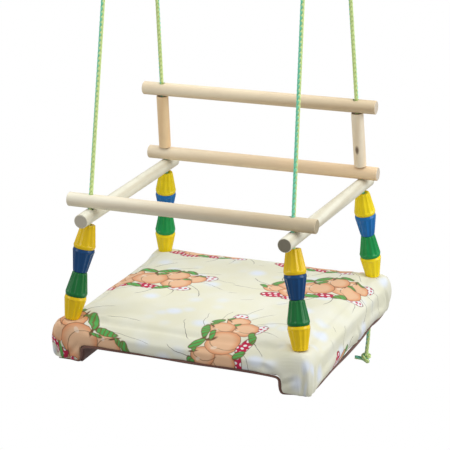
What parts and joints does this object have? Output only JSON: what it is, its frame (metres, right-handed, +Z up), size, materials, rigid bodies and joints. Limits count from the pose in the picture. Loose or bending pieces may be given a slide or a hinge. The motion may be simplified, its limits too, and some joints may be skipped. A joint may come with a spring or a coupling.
{
  "type": "toddler swing",
  "caption": "Square padded board swing on ropes, with a guard of round wooden rails standing on columns of fluted plastic beads.",
  "frame": {"origin": "centre of the four hanging eyes, in the plane of their bearing points", "axes": "+Z up; -Y towards the front bar, +Y towards the back rest; X across the seat"},
  "size_m": [0.38, 0.368, 0.6716],
  "materials": {
    "printed_cotton": "printed woven cotton",
    "foam": "open-cell foam",
    "plywood": "raw plywood",
    "brown_lining": "plain woven cloth",
    "wood": "sanded, unvarnished softwood",
    "steel": "zinc plated",
    "rope": "braided polypropylene",
    "yellow_plastic": "glossy moulded",
    "green_plastic": "glossy moulded",
    "blue_plastic": "glossy moulded"
  },
  "bodies": {
    "swing": {"fabric_cover": "printed_cotton", "foam_pad": "foam", "seat_panel": "plywood", "underside_lining": "brown_lining", "panel_screws": "steel", "cover_staples": "steel", "back_lower_rail": "wood", "batten_left": "wood", "side_rail_left": "wood", "rope_front_left": "rope", "rope_rear_left": "rope", "rope_tail_left": "rope", "seat_knot_left": "rope", "tail_knot_left": "rope", "batten_right": "wood", "side_rail_right": "wood", "rope_front_right": "rope", "rope_rear_right": "rope", "rope_tail_right": "rope", "seat_knot_right": "rope", "tail_knot_right": "rope", "hanging_loop_front_left": "rope", "top_knot_front_left": "rope", "hanging_loop_rear_left": "rope", "top_knot_rear_left": "rope", "hanging_loop_front_right": "rope", "top_knot_front_right": "rope", "hanging_loop_rear_right": "rope", "top_knot_rear_right": "rope"},
    "front_bar": {"front_bar": "wood"},
    "back_top_rail": {"back_top_rail": "wood"},
    "back_post_left": {"back_post_left": "wood"},
    "back_post_right": {"back_post_right": "wood"},
    "bead_front_left_1": {"bead_front_left_1": "yellow_plastic"},
    "bead_front_left_2": {"bead_front_left_2": "green_plastic"},
    "bead_front_left_3": {"bead_front_left_3": "blue_plastic"},
    "bead_front_left_4": {"bead_front_left_4": "yellow_plastic"},
    "bead_rear_left_1": {"bead_rear_left_1": "yellow_plastic"},
    "bead_rear_left_2": {"bead_rear_left_2": "green_plastic"},
    "bead_rear_left_3": {"bead_rear_left_3": "blue_plastic"},
    "bead_rear_left_4": {"bead_rear_left_4": "yellow_plastic"},
    "bead_front_right_1": {"bead_front_right_1": "yellow_plastic"},
    "bead_front_right_2": {"bead_front_right_2": "green_plastic"},
    "bead_front_right_3": {"bead_front_right_3": "blue_plastic"},
    "bead_front_right_4": {"bead_front_right_4": "yellow_plastic"},
    "bead_rear_right_1": {"bead_rear_right_1": "yellow_plastic"},
    "bead_rear_right_2": {"bead_rear_right_2": "green_plastic"},
    "bead_rear_right_3": {"bead_rear_right_3": "blue_plastic"},
    "bead_rear_right_4": {"bead_rear_right_4": "yellow_plastic"}
  },
  "joints": [
    {"name": "front_bar_lift", "type": "slide", "parent": "swing", "child": "front_bar", "axis": [0, 0.1558, 0.9878], "range_m": [0, 0.13]},
    {"name": "back_top_rail_lift", "type": "slide", "parent": "swing", "child": "back_top_rail", "axis": [0, -0.1558, 0.9878], "range_m": [0, 0.09]},
    {"name": "back_post_left_spin", "type": "hinge", "parent": "swing", "child": "back_post_left", "pos_m": [-0.15498, 0.13062, -0.3101], "axis": [0.0276, -0.1557, 0.9874], "continuous": true},
    {"name": "back_post_right_spin", "type": "hinge", "parent": "swing", "child": "back_post_right", "pos_m": [0.15498, 0.13062, -0.3101], "axis": [-0.0276, -0.1557, 0.9874], "continuous": true},
    {"name": "bead_front_left_1_spin", "type": "hinge", "parent": "swing", "child": "bead_front_left_1", "pos_m": [-0.16836, -0.16256, -0.51265], "axis": [0.1376, 0.1543, 0.9784], "continuous": true},
    {"name": "bead_front_left_2_spin", "type": "hinge", "parent": "swing", "child": "bead_front_left_2", "pos_m": [-0.16359, -0.15722, -0.47875], "axis": [0.1376, 0.1543, 0.9784], "continuous": true},
    {"name": "bead_front_left_3_spin", "type": "hinge", "parent": "swing", "child": "bead_front_left_3", "pos_m": [-0.15882, -0.15187, -0.44485], "axis": [0.1376, 0.1543, 0.9784], "continuous": true},
    {"name": "bead_front_left_4_spin", "type": "hinge", "parent": "swing", "child": "bead_front_left_4", "pos_m": [-0.15406, -0.14652, -0.41095], "axis": [0.1376, 0.1543, 0.9784], "continuous": true},
    {"name": "bead_rear_left_1_spin", "type": "hinge", "parent": "swing", "child": "bead_rear_left_1", "pos_m": [-0.16918, 0.16256, -0.51265], "axis": [0.0918, -0.1551, 0.9836], "continuous": true},
    {"name": "bead_rear_left_2_spin", "type": "hinge", "parent": "swing", "child": "bead_rear_left_2", "pos_m": [-0.16602, 0.15722, -0.47875], "axis": [0.0918, -0.1551, 0.9836], "continuous": true},
    {"name": "bead_rear_left_3_spin", "type": "hinge", "parent": "swing", "child": "bead_rear_left_3", "pos_m": [-0.16285, 0.15187, -0.44485], "axis": [0.0918, -0.1551, 0.9836], "continuous": true},
    {"name": "bead_rear_left_4_spin", "type": "hinge", "parent": "swing", "child": "bead_rear_left_4", "pos_m": [-0.15969, 0.14652, -0.41095], "axis": [0.0918, -0.1551, 0.9836], "continuous": true},
    {"name": "bead_front_right_1_spin", "type": "hinge", "parent": "swing", "child": "bead_front_right_1", "pos_m": [0.16836, -0.16256, -0.51265], "axis": [-0.1376, 0.1543, 0.9784], "continuous": true},
    {"name": "bead_front_right_2_spin", "type": "hinge", "parent": "swing", "child": "bead_front_right_2", "pos_m": [0.16359, -0.15722, -0.47875], "axis": [-0.1376, 0.1543, 0.9784], "continuous": true},
    {"name": "bead_front_right_3_spin", "type": "hinge", "parent": "swing", "child": "bead_front_right_3", "pos_m": [0.15882, -0.15187, -0.44485], "axis": [-0.1376, 0.1543, 0.9784], "continuous": true},
    {"name": "bead_front_right_4_spin", "type": "hinge", "parent": "swing", "child": "bead_front_right_4", "pos_m": [0.15406, -0.14652, -0.41095], "axis": [-0.1376, 0.1543, 0.9784], "continuous": true},
    {"name": "bead_rear_right_1_spin", "type": "hinge", "parent": "swing", "child": "bead_rear_right_1", "pos_m": [0.16918, 0.16256, -0.51265], "axis": [-0.0918, -0.1551, 0.9836], "continuous": true},
    {"name": "bead_rear_right_2_spin", "type": "hinge", "parent": "swing", "child": "bead_rear_right_2", "pos_m": [0.16602, 0.15722, -0.47875], "axis": [-0.0918, -0.1551, 0.9836], "continuous": true},
    {"name": "bead_rear_right_3_spin", "type": "hinge", "parent": "swing", "child": "bead_rear_right_3", "pos_m": [0.16285, 0.15187, -0.44485], "axis": [-0.0918, -0.1551, 0.9836], "continuous": true},
    {"name": "bead_rear_right_4_spin", "type": "hinge", "parent": "swing", "child": "bead_rear_right_4", "pos_m": [0.15969, 0.14652, -0.41095], "axis": [-0.0918, -0.1551, 0.9836], "continuous": true}
  ]
}
